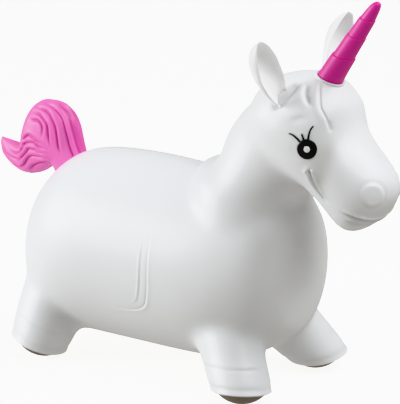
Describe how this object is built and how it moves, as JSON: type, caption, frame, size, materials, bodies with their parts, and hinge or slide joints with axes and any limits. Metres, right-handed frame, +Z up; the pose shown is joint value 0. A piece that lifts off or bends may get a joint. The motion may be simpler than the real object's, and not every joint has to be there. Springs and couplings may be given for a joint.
{
  "type": "inflatable hopping unicorn",
  "caption": "Air-filled soft vinyl hopping unicorn for a small child to sit and bounce on, with ear handles, stepped horn, plume tail and push-in valve.",
  "frame": {"origin": "on the floor under the middle of the whole toy, where its four soles stand", "axes": "+X towards the muzzle, +Y towards the left side of the animal, +Z up"},
  "size_m": [0.5994, 0.2436, 0.505],
  "materials": {
    "white_vinyl": "satin white soft vinyl",
    "pink_vinyl": "satin pink soft vinyl",
    "brown_sole": "matt brown soft vinyl",
    "black_print": "satin black print",
    "white_print": "satin white print"
  },
  "bodies": {
    "toy": {"body_skin": "white_vinyl", "ear_right": "white_vinyl", "ear_left": "white_vinyl", "horn": "pink_vinyl", "tail": "pink_vinyl", "sole_front_right": "brown_sole", "sole_front_left": "brown_sole", "sole_rear_right": "brown_sole", "sole_rear_left": "brown_sole", "eye_print_right": "black_print", "eye_print_left": "black_print", "eye_glint_right": "white_print", "eye_glint_left": "white_print", "valve_seat": "white_vinyl"},
    "plug": {"valve_plug": "white_vinyl"}
  },
  "joints": [
    {"name": "plug_pull", "type": "slide", "parent": "toy", "child": "plug", "axis": [-1, 0, 0], "range_m": [0, 0.03]}
  ]
}
